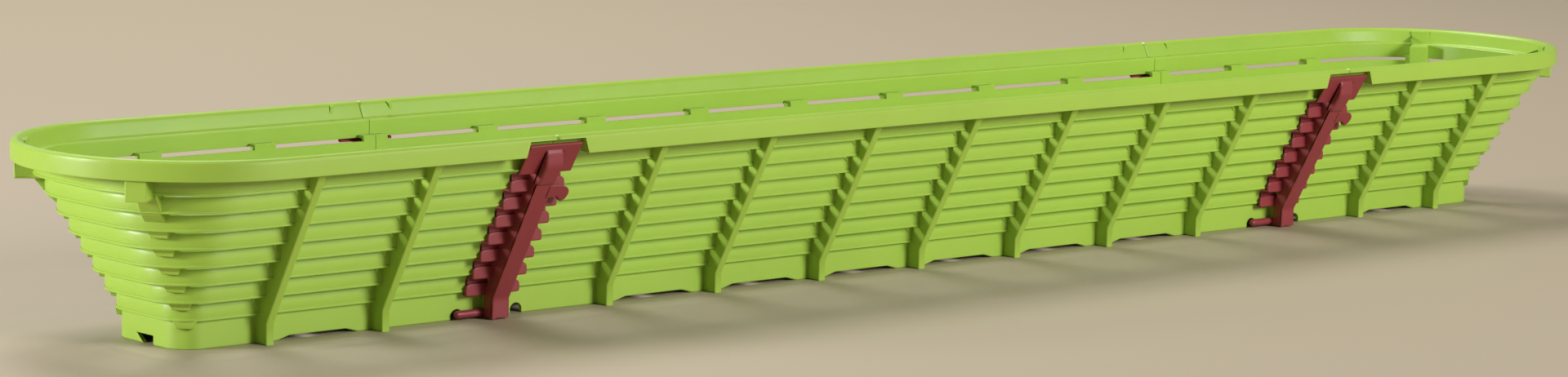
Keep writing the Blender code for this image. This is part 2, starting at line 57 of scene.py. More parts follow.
camera.matrix_world = Matrix((right, up, -ahead)).transposed().to_4x4()
camera.location = (-1.41614, -1.50322, 0.31624)
camera.data.sensor_width = film_width
camera.data.lens = focal_pixels / picture_width * film_width
camera.data.clip_start = 0.05
bpy.context.scene.camera = camera


# The middle module
# The straight moulding: eight rings on each side, each a step further out than the
# one below, with long air slots at the steps. Injection moulded in lime green plastic,
# in one shot with its foot, floor, fins and rim.
front, back = -1, 1
seam, half_gap = 250.0, 0.15
wall = 1.8
hair = 0.01
top_ring = 7
first_lip, ring_pitch = 12.0, 8.0
first_reach, ring_step = 27.4, 4.85
ring_lips = first_lip + ring_pitch * np.arange(top_ring + 1)
ring_reaches = first_reach + ring_step * np.arange(top_ring + 1)
ring_height, solid_height = 6.9, 8.2
rim_base, ledge_top, rim_under, rim_top = 74.4, 75.6, 81.2, 83.0
rim_reach = 72.0
groove_foot, groove_top = 66.2, 69.0
rim_end_draw, rim_end_length = 0.6, 0.9
window_half, window_spread, window_gap = 14.6, 2.2, 0.15
cheek_width, cheek_reach = 5.6, 68.3
fin_spacing = 62.5
bridge_half, seam_bridge = 5.5, 6.5
fin_foot, fin_bend, fin_head = 32.4, 9.0, 68.2
fin_root, fin_root_foot, fin_inset = 65.3, 75.0, 0.12
fin_shape = {"thickness": 4.2, "top": 75.1, "edge": 0.75}
rib_shape = {"thickness": 2.0, "top": 73.0, "edge": 0.35}
rib_place = 1.2
post_place, post_radius, post_foot, post_height = 4.7, 0.85, 5.0, 3.3
foot_reach, foot_top, foot_press = 25.0, 12.3, 4.8
pad_half, foot_slope, foot_rise = 9.0, 6.0, 1.7
arch_place, arch_radius, arch_rise = 16.0, 3.25, 1.35
floor_half, floor_low, floor_top = 24.1, 11.4, 13.2
drain_half, drain_near, drain_far = 2.5, 3.5, 19.7


def moulded_plastic(name, colour, roughness, depth):
    """A moulded plastic with slow changes of tint and gloss and a very fine grain.
    The tint is the colour times 1 +- depth, by a noise over some centimetres."""
    material = bpy.data.materials.new(name)
    material.use_nodes = True
    nodes, links = material.node_tree.nodes, material.node_tree.links
    shader = nodes["Principled BSDF"]
    place = nodes.new("ShaderNodeTexCoord")
    slow, fine, grain = (nodes.new("ShaderNodeTexNoise") for _ in range(3))
    for noise, scale, detail in ((slow, 14, 3), (fine, 160, 4), (grain, 2600, 2)):
        noise.inputs["Scale"].default_value = scale
        noise.inputs["Detail"].default_value = detail
        links.new(place.outputs["Object"], noise.inputs["Vector"])
    tint = nodes.new("ShaderNodeValToRGB")
    tint.color_ramp.elements[0].position = 0.25
    tint.color_ramp.elements[0].color = (*[c * (1 - depth) for c in colour], 1)
    tint.color_ramp.elements[1].position = 0.75
    tint.color_ramp.elements[1].color = (*[min(c * (1 + depth), 1) for c in colour], 1)
    links.new(slow.outputs["Fac"], tint.inputs["Fac"])
    links.new(tint.outputs["Color"], shader.inputs["Base Color"])
    gloss = nodes.new("ShaderNodeMapRange")
    gloss.inputs["From Min"].default_value = 0.3
    gloss.inputs["From Max"].default_value = 0.7
    gloss.inputs["To Min"].default_value = roughness - 0.05
    gloss.inputs["To Max"].default_value = roughness + 0.06
    links.new(fine.outputs["Fac"], gloss.inputs["Value"])
    links.new(gloss.outputs["Result"], shader.inputs["Roughness"])
    bump = nodes.new("ShaderNodeBump")
    bump.inputs["Strength"].default_value = 0.12
    bump.inputs["Distance"].default_value = 0.00004
    links.new(grain.outputs["Fac"], bump.inputs["Height"])
    links.new(bump.outputs["Normal"], shader.inputs["Normal"])
    shader.inputs["Specular IOR Level"].default_value = 0.5
    return material


def closed_skin(points):
    """A closed tube over a grid of points, rows along it and columns round its section,
    with a flat face on each end. Its volume is the sum of a . (b x c) / 6 over its
    triangles, and its faces are turned round where that is below zero."""
    rows, columns = points.shape[:2]
    index = np.arange(rows * columns).reshape(rows, columns)
    after = np.roll(index, -1, axis=1)
    quads = np.stack((index[:-1], after[:-1], after[1:], index[1:]), axis=-1).reshape(-1, 4)
    caps = np.stack((index[0][::-1], index[-1]))
    place = points.reshape(-1, 3)
    volume = 0
    for faces in (quads, caps):
        corners = place[faces]
        crossed = np.cross(corners[:, 1:-1], corners[:, 2:])
        volume += np.einsum("fi,fji->", corners[:, 0], crossed)
    groups = [quads, caps]
    if volume < 0:
        groups = [faces[:, ::-1] for faces in groups]
    return place, groups


def make_piece(name, skins, material, body, node):
    """One object from several closed skins, smooth but for its edges over 30 degrees."""
    places, faces, start = [], [], 0
    for place, groups in skins:
        places.append(place)
        for group in groups:
            faces.extend((group + start).tolist())
        start += len(place)
    mesh = bpy.data.meshes.new(name)
    mesh.from_pydata((np.concatenate(places) * 0.001).tolist(), [], faces)
    mesh.shade_smooth()
    mesh.set_sharp_from_angle(angle=math.radians(30))
    made = bpy.data.objects.new(name, mesh)
    bpy.context.collection.objects.link(made)
    mesh.materials.append(material)
    weighted = made.modifiers.new("weighted_normals", "WEIGHTED_NORMAL")
    weighted.keep_sharp = True
    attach(made, body)
    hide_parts(node)
    return made


def softened(outline, radius, steps=3):
    """A closed outline with each corner p rounded by the parabola (1-t)^2 a + 2t(1-t) p + t^2 b,
    where a and b lie on its two edges, radius away but never past 0.45 of the edge."""
    corner = np.asarray(outline, float)
    size = np.broadcast_to(np.asarray(radius, float), len(corner))[:, None]
    points = []
    for neighbour in (np.roll(corner, 1, axis=0), np.roll(corner, -1, axis=0)):
        edge = neighbour - corner
        length = np.linalg.norm(edge, axis=1, keepdims=True)
        points.append(corner + edge / length * np.minimum(size, 0.45 * length))
    t = np.linspace(0, 1, steps + 1)[None, :, None]
    first, middle, last = points[0][:, None], corner[:, None], points[1][:, None]
    return ((1 - t) ** 2 * first + 2 * t * (1 - t) * middle + t**2 * last).reshape(-1, 2)


def carried(section, stations):
    """A (reach, height) section at plan stations (base x, base y, normal x, normal y):
    each point lies at base + normal * reach, at its height."""
    section = np.broadcast_to(section, (len(stations), *np.shape(section)[-2:]))
    base, normal = stations[:, None, :2], stations[:, None, 2:]
    plan = base + normal * section[..., :1]
    return np.concatenate((plan, section[..., 1:]), axis=-1)


def way_in(outline):
    """The step in from each corner of an outline that runs anticlockwise: (a + b) / (1 + a . b)
    for the inward normals a and b of its two edges, so that each edge moves in by one."""
    ahead_edge = np.roll(outline, -1, axis=0) - outline
    ahead_edge /= np.linalg.norm(ahead_edge, axis=1, keepdims=True)
    inward = np.stack((-ahead_edge[:, 1], ahead_edge[:, 0]), axis=1)
    before = np.roll(inward, 1, axis=0)
    spread = 1 + np.sum(inward * before, axis=1, keepdims=True)
    return (inward + before) / np.maximum(spread, 0.3)


def plate(outline, thickness, edge, steps=3):
    """A flat outline with thickness and rounded rims, as grids a, b, t: near each side the
    outline is drawn in by edge (1 - sin f) at a depth of edge (1 - cos f) below that side."""
    flat = np.asarray(outline, float)
    following = np.roll(flat, -1, axis=0)
    if np.sum(flat[:, 0] * following[:, 1] - flat[:, 1] * following[:, 0]) < 0:
        flat = flat[::-1]
    turn = np.linspace(0, math.pi / 2, steps + 1)
    depth, drawn = edge * (1 - np.cos(turn)), edge * (1 - np.sin(turn))
    level = np.concatenate((depth - thickness / 2, thickness / 2 - depth[::-1]))
    drawn = np.concatenate((drawn, drawn[::-1]))
    grid = flat[None] + way_in(flat)[None] * drawn[:, None, None]
    return grid[..., 0], grid[..., 1], np.broadcast_to(level[:, None], grid.shape[:2])


def side_stations(places, side):
    """Stations along a straight wall, square to it, at the front (-1) or the back (1)."""
    places = np.asarray(places, float)
    zero = np.zeros_like(places)
    return np.stack((places, zero, zero, zero + side), axis=1)


def zoned(start, end, zones, more=()):
    """Places from start to end and whether each lies in a zone. Every zone's edge is
    there twice, a hair to each side, so that a section can change at it in one step."""
    edges = np.array([edge + step for zone in zones for edge in zone for step in (-hair, hair)])
    edges = edges[(edges > start) & (edges < end)]
    places = np.unique(np.concatenate(([start, end], edges, more)))
    inside = np.any([(places > low) & (places < high) for low, high in zones], axis=0)
    return places, inside


def ring_section(ring, solid):
    """A ring's section at each station: a bead on its lower lip, a shallow groove over the
    bead, a slightly hollow face. Where it is solid, its top reaches the next ring's step."""
    shape = np.array([
        (-wall, 0), (-0.15, 0), (0, 0.15), (0, 0.85), (-0.10, 1.02), (-0.38, 1.08), (-0.36, 1.45),
        (-0.20, 2.2), (-0.10, 3.4), (-0.12, 5.2), (-0.28, 6.5),
        (-0.55, ring_height), (-wall, ring_height),
    ])
    top = shape[:, 1] > 6
    level = shape[None, :, 1] + np.where(solid[:, None] & top, solid_height - ring_height, 0)
    reach = np.broadcast_to(shape[None, :, 0], level.shape)
    return np.stack((reach + ring_reaches[ring], level + ring_lips[ring]), axis=-1)


def step_plate(ring, stations):
    """The flat step between a ring and the next one up, where the slot is closed."""
    near, far = ring_reaches[ring] - wall + 0.2, ring_reaches[ring + 1] - 0.6
    low, high = ring_lips[ring + 1] + 0.12, ring_lips[ring + 1] + 1.3
    section = [(near, low), (far, low), (far, high), (near, high)]
    return closed_skin(carried(section, stations))


def rim_section():
    """The top ring, its ledge and the rim, an upside-down channel that narrows to a rounded
    top: its inner wall leans outwards going up."""
    reach, lip = ring_reaches[top_ring], ring_lips[top_ring]
    flange = rim_reach - wall
    outline = [
        (reach - 0.15, lip), (reach, lip + 0.15), (reach, lip + 0.85), (reach - 0.35, lip + 1.1),
        (reach - 0.3, lip + 1.6), (reach - 0.1, lip + 3.2), (reach - 0.1, rim_base),
        (groove_foot, rim_base), (groove_top, rim_under), (flange, rim_under), (flange, rim_base),
        (rim_reach, rim_base), (rim_reach, rim_top), (groove_top - wall, rim_top),
        (groove_foot - wall, ledge_top), (reach - wall, ledge_top), (reach - wall, lip),
    ]
    radius = [0.1, 0.1, 0.15, 0.1, 0.3, 0.6, 0.2, 0.3, 0.3, 0.3, 0.3, 0.6, 2.4, 2.0, 0.8, 0.7, 0.2]
    return softened(outline, radius)


def rim_points(stations, open_here, away):
    """The rim along its stations, drawn in by rim_end_draw at its two seam ends. In a clip
    window the flange is drawn up to its top, and beside a window its end slants,
    window_spread further away at its foot."""
    section = rim_section()
    flange = (section[:, 0] > rim_reach - 2.5) & (section[:, 1] < rim_under + 0.05)
    at_end = np.zeros(len(stations))
    at_end[[0, -1]] = rim_end_draw
    above = np.clip((section[:, 1:] - ledge_top - 0.2) / 3, 0, 1)
    drawn = way_in(section) * above * at_end[:, None, None]
    points = carried(section + drawn, stations)
    under = rim_under - points[:, flange, 2]
    beside = ~open_here & (np.roll(open_here, 1) | np.roll(open_here, -1))
    shift = np.where(beside, away, 0)[:, None] * window_spread * under / (rim_under - rim_base)
    points[:, flange, 0] += shift
    points[:, flange, 2] = rim_under - np.where(open_here[:, None], 0.004, 1) * under
    return points


def fin_reach(level):
    """How far a fin's outer edge stands out: upright to fin_bend, then a straight slant."""
    share = np.maximum(np.asarray(level, float) - fin_bend, 0) / (rim_base - fin_bend)
    return fin_foot + (fin_head - fin_foot) * share


def fin_outline(top):
    """A fin's side view as (reach, height): its outer edge, a head that stands in the rim's
    groove where the fin is tall enough, then down in steps inside the rings."""
    outline = [(fin_foot, 0), (fin_foot, fin_bend), (float(fin_reach(top)), top)]
    level = top
    if top > rim_base:
        level = fin_root_foot
        outline += [(fin_root, top), (fin_root, level)]
    for ring in range(top_ring, -1, -1):
        inner = ring_reaches[ring] - wall + fin_inset
        outline.append((inner, level))
        level = ring_lips[ring] + (1.0 if ring else 0.6)
        outline.append((inner, level))
    return outline + [(floor_half, level), (floor_half, 0)]


def upright(x, side, thickness, top, edge):
    """A fin or a seam rib, square to the wall at x."""
    reach, level, along = plate(fin_outline(top), thickness, edge)
    return closed_skin(np.stack((x + along, side * reach, level), axis=-1))


def slot_posts(x, side):
    """The small round posts that end the slots beside a fin: a ring of eight points
    carried up over five levels, its radius closing as a dome at the top and the foot."""
    posts = []
    around = np.arange(8) * math.pi / 4
    share = np.array([0, 0.1, 0.3, 0.75, 1])
    radius = post_radius * np.array([0.2, 0.75, 1, 0.95, 0.85])
    for ring in range(top_ring):
        level = ring_lips[ring] + post_foot + share * post_height
        for offset in (-post_place, post_place):
            across = x + offset + radius[:, None] * np.cos(around)
            reach = ring_reaches[ring] - 0.25 + radius[:, None] * np.sin(around)
            height = np.broadcast_to(level[:, None], across.shape)
            posts.append(closed_skin(np.stack((across, side * reach, height), axis=-1)))
    return posts


def foot_section(lift):
    """The foot's skirt at each station, standing on the table or raised by lift. Its
    points under foot_press are pressed up between the lift and that level."""
    outer, inner, soft = foot_reach, foot_reach - wall, 0.4
    levels = [soft, 2.4, 4.0, foot_press, foot_top]
    outline = [(outer - soft, 0)] + [(outer, level) for level in levels]
    outline += [(inner, level) for level in reversed(levels)] + [(inner + soft, 0)]
    shape = np.array(outline)
    lift = np.asarray(lift, float)[:, None]
    level = shape[None, :, 1]
    level = np.where(level < foot_press, lift + level * (foot_press - lift) / foot_press, level)
    reach = np.broadcast_to(shape[None, :, 0], level.shape)
    return np.stack((reach, level), axis=-1)


def foot_lift(places, fins, arches):
    """How high the foot's lower edge is: raised by foot_rise between the pads at the fins,
    with a slope at each side, and cut by a round arch near each seam."""
    places = np.asarray(places, float)
    lift = np.zeros_like(places)
    for low, high in zip(fins, fins[1:]):
        inner = np.minimum(places - low - pad_half, high - pad_half - places)
        lift = np.maximum(lift, np.clip(inner / foot_slope, 0, 1) * foot_rise)
    for arch in arches:
        aside = np.abs(places - arch)
        round_top = np.sqrt(np.maximum(arch_radius**2 - aside**2, 0))
        lift = np.where(aside < arch_radius, arch_rise + round_top, lift)
    return lift


def foot_places(start, end, fins, arches):
    """Where the foot's lower edge bends: both slopes of each lift, and round each arch."""
    bends = [start, end]
    sloped = pad_half + foot_slope
    for low, high in zip(fins, fins[1:]):
        bends += [low + pad_half, low + sloped, high - sloped, high - pad_half]
    for arch in arches:
        bends += list(arch + arch_radius * np.cos(np.linspace(0, math.pi, 15)))
        bends += [arch - arch_radius - hair, arch + arch_radius + hair]
    return np.unique(bends)


def pierced_floor(places, shares, holes, half_width):
    """The floor with its drain slots. A point of its grid is (x, share * half_width(x)),
    a cell marked as a hole is left out, and every edge of what is left gets a wall."""
    across = np.asarray(shares)[None, :] * half_width(np.asarray(places))[:, None]
    along = np.broadcast_to(np.asarray(places)[:, None], across.shape)
    rows, columns = across.shape
    count = rows * columns
    levels = (floor_low, floor_top)
    sheets = [np.stack((along, across, np.full_like(across, z)), -1) for z in levels]
    index = np.arange(count).reshape(rows, columns)
    near, far = index[:-1, :-1], index[1:, 1:]
    left, right_corner = index[:-1, 1:], index[1:, :-1]
    filled = np.pad(~holes, 1)
    kept = filled[1:-1, 1:-1]
    cell = np.stack((near, right_corner, far, left), axis=-1)
    quads = [cell[kept][:, ::-1], cell[kept] + count]
    edges = (
        (near, right_corner, filled[1:-1, :-2]), (right_corner, far, filled[2:, 1:-1]),
        (far, left, filled[1:-1, 2:]), (left, near, filled[:-2, 1:-1]),
    )
    for first, second, beyond in edges:
        bare = kept & ~beyond
        a, b = first[bare], second[bare]
        quads.append(np.stack((a, b, b + count, a + count), axis=-1))
    used, faces = np.unique(np.concatenate(quads), return_inverse=True)
    return np.concatenate(sheets).reshape(-1, 3)[used], [faces.reshape(-1, 4)]


def slot_grid(slots, start, end, more=()):
    """The floor's grid lines and its holes: two rows of drain slots, one to each side."""
    places = [start, end, *more]
    for slot in slots:
        places += [slot - drain_half, slot + drain_half]
    places = np.unique(places)
    middles = (places[1:] + places[:-1]) / 2
    one_side = np.array([drain_near, drain_far, floor_half])
    shares = np.concatenate((-one_side[::-1], one_side)) / floor_half
    at_slot = np.any([np.abs(middles - slot) < drain_half for slot in slots], axis=0)
    in_row = np.array([False, True, False, True, False])
    return places, shares, at_slot[:, None] & in_row[None, :]


def cheek(x, way, side):
    """The small wall that closes the rim's groove beside a clip window, slanting with it."""
    low, high = rim_base + 0.3, rim_under + 1.0
    slant = window_spread / (rim_under - rim_base)
    near = [window_half + window_gap + slant * (rim_under - z) for z in (low, high)]
    outline = [(near[0], low), (near[0] + wall, low), (near[1] + wall, high), (near[1], high)]
    along, level, reach = plate(outline, cheek_width, 0.3)
    return closed_skin(np.stack((x + way * along, side * (reach + cheek_reach), level), axis=-1))


lime = moulded_plastic("lime_plastic", (0.360, 0.550, 0.064), roughness=0.40, depth=0.045)
module_end = seam - half_gap
fin_places = np.arange(-3, 4) * fin_spacing
bridges = [(x - bridge_half, x + bridge_half) for x in fin_places]
bridges += [(-seam - 1, seam_bridge - seam), (seam - seam_bridge, seam + 1)]
wall_places, wall_solid = zoned(-module_end, module_end, bridges)
windows = [(-seam - 1, window_half - seam), (seam - window_half, seam + 1)]
rim_drawn = (rim_end_length - module_end, module_end - rim_end_length)
rim_places, rim_open = zoned(-module_end, module_end, windows, rim_drawn)
arches = (arch_place - seam, seam - arch_place)
foot_along = foot_places(-module_end, module_end, fin_places, arches)
skins = []
for side in (front, back):
    stations = side_stations(wall_places, side)
    for ring in range(top_ring):
        skins.append(closed_skin(carried(ring_section(ring, wall_solid), stations)))
        for low, high in bridges:
            ends = np.clip((low, high), -module_end, module_end)
            skins.append(step_plate(ring, side_stations(ends, side)))
    rim_away = -np.sign(rim_places)
    skins.append(closed_skin(rim_points(side_stations(rim_places, side), rim_open, rim_away)))
    lift = foot_lift(foot_along, fin_places, arches)
    skins.append(closed_skin(carried(foot_section(lift), side_stations(foot_along, side))))
    for x in fin_places:
        skins.append(upright(x, side, **fin_shape))
        skins += slot_posts(x, side)
    for way in (-1, 1):
        skins.append(upright(way * (module_end - rib_place), side, **rib_shape))
        skins.append(cheek(way * seam, -way, side))
slots = (np.arange(8) + 0.5) * fin_spacing - seam
floor_grid = slot_grid(slots, -module_end, module_end)
skins.append(pierced_floor(*floor_grid, lambda x: np.full_like(x, floor_half)))
make_piece("middle_module_plastic", skins, lime, "basket", "middle_module")


# The two rounded end modules
# Each closes one end of the basket: the same rings, rim and foot, carried round two
# corners, with a square lug, a panel and small gussets under the rim at each corner. One
# moulding of the same lime plastic, used twice; the left one is turned half round.
end_start = seam + half_gap
ring_centre = np.array([395.3, 13.5])
rim_centre = np.array([387.0, 2.0])
end_spacing = 58.8
end_fins = seam + end_spacing * np.array([1, 2])
lug_turn = math.radians(52.2)
gusset_turn, gusset_aside, gusset_bridge = math.radians(62), 5.5, 5.0
notch_half, notch_height, tooth_lean = 6.0, 3.9, 5.0


def corner_stations(centre, turns, side):
    """Stations round a corner: the base is the centre less the normal times the centre's
    own reach, so that a reach still counts from the middle plane of the basket."""
    turns = np.asarray(turns, float)
    normal = np.stack((np.sin(turns), side * np.cos(turns)), axis=1)
    base = np.array([centre[0], side * centre[1]]) - normal * centre[1]
    return np.concatenate((base, normal), axis=1)


def gusset_line(reach):
    """The turn of the corner at which a ring of some reach meets the line of gussets, which
    runs gusset_aside beside the radius at gusset_turn."""
    return gusset_turn - math.asin(gusset_aside / (reach - ring_centre[1]))


def round_stations(straight, centre, turns):
    """The whole way round an end: the front side, both corners and the back side."""
    side_front = side_stations(straight, front)
    side_back = side_stations(straight[::-1], back)
    corner_front = corner_stations(centre, turns, front)
    corner_back = corner_stations(centre, turns[::-1], back)
    return np.concatenate((side_front, corner_front, corner_back, side_back))


def end_ring(ring):
    """A ring round the end, solid beside the seam, at the fins and at the gussets."""
    zones = [(seam - 1, seam + seam_bridge)]
    zones += [(x - bridge_half, x + bridge_half) for x in end_fins]
    straight, solid = zoned(end_start, ring_centre[0] - hair, zones)
    radius = ring_reaches[ring] - ring_centre[1]
    turn = gusset_line(ring_reaches[ring])
    zone = (turn - gusset_bridge / radius, turn + gusset_bridge / radius)
    step = hair / radius
    edges = [edge + shift for edge in zone for shift in (-step, step)]
    turns = np.unique(np.concatenate((np.linspace(0, math.pi / 2, 33), edges)))
    at_gusset = (turns > zone[0]) & (turns < zone[1])
    stations = round_stations(straight, ring_centre, turns)
    flags = np.concatenate((solid, at_gusset, at_gusset[::-1], solid[::-1]))
    made = [closed_skin(carried(ring_section(ring, flags), stations))]
    for side in (front, back):
        for low, high in zones:
            ends = (max(low, end_start), high)
            made.append(step_plate(ring, side_stations(ends, side)))
        made.append(step_plate(ring, corner_stations(ring_centre, np.linspace(*zone, 7), side)))
    return made


def end_rim():
    """The rim round the end, with half a clip window at each seam. The top ring in its
    section turns on the rings' centre, and the rest on the rim's own."""
    window = [(seam - 1, seam + window_half)]
    drawn = (end_start + rim_end_length,)
    straight, opened = zoned(end_start, rim_centre[0] - hair, window, drawn)
    turns = np.linspace(0, math.pi / 2, 49)
    stations = round_stations(straight, rim_centre, turns)
    shut = np.zeros(len(turns), bool)
    flags = np.concatenate((opened, shut, shut, opened[::-1]))
    points = rim_points(stations, flags, np.ones(len(flags)))
    section = rim_section()
    ring_part = (section[:, 1] < ledge_top + 0.1) & (section[:, 0] < 62)
    under = carried(section, round_stations(straight, ring_centre, turns))
    points[:, ring_part] = under[:, ring_part]
    return closed_skin(points)


def end_foot():
    """The foot round the end. Across its tip it has a notch whose one side slants, so that
    a pointed tooth of the wall stands in it."""
    straight = foot_places(end_start, ring_centre[0] - hair, end_fins, (seam + arch_place,))
    lift = foot_lift(straight, end_fins, (seam + arch_place,))
    turns = np.linspace(0, math.pi / 2, 17)
    tip_half = np.array([0, notch_half - hair, notch_half + hair, 12])
    tip_y = np.concatenate((-tip_half[:0:-1], tip_half))
    tip_lift = np.where(np.abs(tip_y) < notch_half, notch_height, 0)
    tip_x = np.full(7, ring_centre[0] - ring_centre[1])
    across = np.stack((tip_x, tip_y, np.ones(7), np.zeros(7)), 1)
    stations = np.concatenate((
        side_stations(straight, front), corner_stations(ring_centre, turns, front), across,
        corner_stations(ring_centre, turns[::-1], back), side_stations(straight[::-1], back),
    ))
    flat = np.zeros(len(turns))
    lifts = np.concatenate((lift, flat, tip_lift, flat, lift[::-1]))
    points = carried(foot_section(lifts), stations)
    tooth = len(straight) + len(turns) + 1
    points[tooth, :, 1] += tooth_lean * np.clip(1 - points[tooth, :, 2] / notch_height, 0, 1)
    return closed_skin(points)


def end_floor():
    """The floor of an end, narrowing round its two corners to a straight tip."""
    radius = floor_half - ring_centre[1]

    def half_width(x):
        beyond = np.clip((x - ring_centre[0]) / radius, 0, 1)
        return ring_centre[1] + radius * np.sqrt(1 - beyond**2)

    round_part = ring_centre[0] + radius * np.sin(np.linspace(0, math.pi / 2, 13))
    slots = seam + (np.arange(2) + 0.5) * end_spacing
    grid = slot_grid(slots, end_start, round_part[-1], round_part[:-1])
    return pierced_floor(*grid, half_width)


def on_corner(centre, turn, side, radial, across, level):
    """Points of a piece square to a corner, from its radial, sideways and upright places."""
    out = np.array([math.sin(turn), side * math.cos(turn)])
    along = np.array([math.cos(turn), -side * math.sin(turn)])
    base = np.array([centre[0], side * centre[1]])
    plan = base + radial[..., None] * out + across[..., None] * along
    return np.concatenate((plan, level[..., None]), axis=-1)


def lug(side):
    """The square lug under the rim, with its edges well rounded, its root in the top ring."""
    root, throat, face, low, high, head = 49, 63, 68.4, 65.8, 75.2, 82
    outline = [(root, low), (face, low), (face, high), (face + 0.6, head)]
    outline += [(throat, head), (throat, high), (root, high)]
    radial, level, across = plate(softened(outline, 0.6), 9.5, 0.8)
    return closed_skin(on_corner(rim_centre, lug_turn, side, radial, across, level))


def lug_panel(side):
    """The slanting panel from the lug down over a ring and a half, running out flush."""
    reach = ring_reaches - ring_centre[1]
    outline = [
        (reach[7] - 0.2, 66.6), (reach[7] - 0.4, 68.8), (reach[6] - 0.6, 68.8),
        (reach[5] - 1.0, 60.8), (reach[5] - 1.0, 56.0), (reach[5] + 0.25, 56.0),
        (reach[6] - 1.4, 58.8),
    ]
    radial, level, across = plate(softened(outline, 0.4), 9.0, 0.5)
    turn = gusset_line(ring_reaches[6])
    return closed_skin(on_corner(ring_centre, turn, side, radial, across, level))


def gusset(ring, side):
    """A small tongue under a ring's lip, wider at the top, against the ring below."""
    reach = ring_reaches[ring] - ring_centre[1]
    below = reach - ring_step if ring else foot_reach - ring_centre[1]
    lip = ring_lips[ring]
    outline = [(reach - 0.5, lip + 0.6), (reach - 0.5, lip - 0.1), (below + 1.9, lip - 1.7)]
    outline += [(below + 1.7, lip - 3.1), (below - 0.9, lip - 3.3), (below - 0.9, lip + 0.6)]
    radial, level, across = plate(softened(outline, 0.3), 9.6, 0.4)
    across = across * (1 - 0.08 * np.clip(lip - level, 0, 3.3))
    turn = gusset_line(ring_reaches[ring])
    return closed_skin(on_corner(ring_centre, turn, side, radial, across, level))


end_skins = [end_rim(), end_foot(), end_floor()]
for ring in range(top_ring):
    end_skins += end_ring(ring)
for side in (front, back):
    for x in end_fins:
        end_skins.append(upright(x, side, **fin_shape))
        end_skins += slot_posts(x, side)
    end_skins.append(upright(end_start + rib_place, side, **rib_shape))
    end_skins.append(cheek(seam, 1, side))
    end_skins += [lug(side), lug_panel(side)]
    end_skins += [gusset(ring, side) for ring in range(6)]
half_turn = np.array([-1, -1, 1])
turned = [(place * half_turn, groups) for place, groups in end_skins]
for hand, hand_skins in (("right", end_skins), ("left", turned)):
    node = f"end_module_{hand}"
    make_piece(f"{node}_plastic", hand_skins, lime, "basket", node)


# The four clips
# Each closes over the two thin ribs of a seam: a flange that steps up over the rings,
# a channelled spine down its middle, a thumb block and an ear near the top, and a round
# arm at the foot on which it turns. One moulding of dark red plastic, used four times.
flange_half, top_width = 14.6, 28.0
clip_gap = 0.35
block_low, block_high, block_width = 60.5, 75.6, 9.2
spine_foot, spine_side, spine_width, spine_stand = 0.5, 3.6, 9.0, 2.6
hinge_reach, hinge_level, arm_radius = 27.05, 2.5, 1.75


def spine_reach(level):
    """How far the spine's back stands out: spine_stand beyond the edge of the ribs inside it."""
    return fin_reach(level) + spine_stand


def clip_shelf(ring):
    """The thin back of one step of the flange, with the flat shelf at its foot that reaches
    in to the step below."""
    low, high = ring_lips[ring] - 1.75, ring_lips[ring + 1] - 1.8
    reach = ring_reaches[ring] + clip_gap
    inner = ring_reaches[ring - 1] + clip_gap if ring else foot_reach + 0.6
    outline = [(reach + 0.7, low), (reach + 0.7, high), (reach, high), (reach, low + 1.4)]
    outline += [(inner, low + 1.4), (inner, low)]
    reach_grid, level, across = plate(softened(outline, 0.15), 2 * flange_half - 2.8, 0.3)
    return reach_grid, across, level


def clip_tile(ring):
    """The raised tile on one step of the flange, its upper corners well rounded. It stops
    short of the shelf above, which leaves a dark groove."""
    low, high = ring_lips[ring] - 1.85, ring_lips[ring + 1] - 4.3
    corners = [(-flange_half, low), (flange_half, low), (flange_half, high), (-flange_half, high)]
    outline = softened(corners, [1.3, 1.3, 3.6, 3.6], 5)
    across, level, depth = plate(outline, 1.7, 0.7)
    return ring_reaches[ring] + clip_gap + 0.95 + depth, across, level


def clip_top():
    """The slanting plate that goes up into the rim's window, with a bevelled top edge."""
    inner = [(61.75, 66.2), (66.55, rim_base), (69.4, 79.5)]
    outer = [(70.6, 79.5), (71.2, 78.8), (68.35, rim_base), (63.4, 66.2)]
    outline = softened(inner + outer, [0.2, 0.5, 0.1, 0.2, 0.3, 1.0, 0.5])
    reach, level, across = plate(outline, top_width, 0.5)
    return reach, across, level


def clip_spine_wall(x):
    """One side wall of the spine's channel, from its back in to the flange."""
    levels = np.array([spine_foot, fin_bend, 60.0, 74.0])
    outline = list(zip(spine_reach(levels) - 0.05, levels)) + [(66.8, 74.6)]
    for ring in range(top_ring, 0, -1):
        outline.append((ring_reaches[ring] + 1.0, min(ring_lips[ring] + 6, 73)))
        outline.append((ring_reaches[ring] + 1.0, ring_lips[ring] - 1.0))
    outline += [(ring_reaches[0] + 1.0, 11.5), (28.9, 11.5), (28.9, spine_foot)]
    reach, level, across = plate(outline, wall, 0.3)
    return reach, across + x, level


def clip_spine_back():
    """The spine's back, with rounded edges, from the foot to the thumb block."""
    levels = np.array([spine_foot, fin_bend, 70.0])
    outer = list(zip(spine_reach(levels), levels))
    inner = list(zip(spine_reach(levels[::-1]) - 1.9, levels[::-1]))
    outline = softened(outer + inner, [0.8, 1.5, 0.2, 0.2, 1.5, 0.2])
    reach, level, across = plate(outline, spine_width, 0.9)
    return reach, across, level


def clip_block():
    """The thumb block: a thicker head on the spine whose face runs out of the top plate."""
    low_reach = spine_reach(block_low)
    outline = [
        (low_reach - 0.8, block_low), (low_reach + 1.6, block_low + 1.0),
        (spine_reach(70) + 1.9, 70), (70.5, block_high), (69.8, 77.2),
        (67.5, 76), (64, 71), (62, 66), (60.5, 61.5),
    ]
    outline = softened(outline, [0.8, 1.0, 2.0, 0.8, 0.3, 0.3, 0.3, 0.3, 0.3])
    reach, level, across = plate(outline, block_width, 1.2)
    return reach, across, level


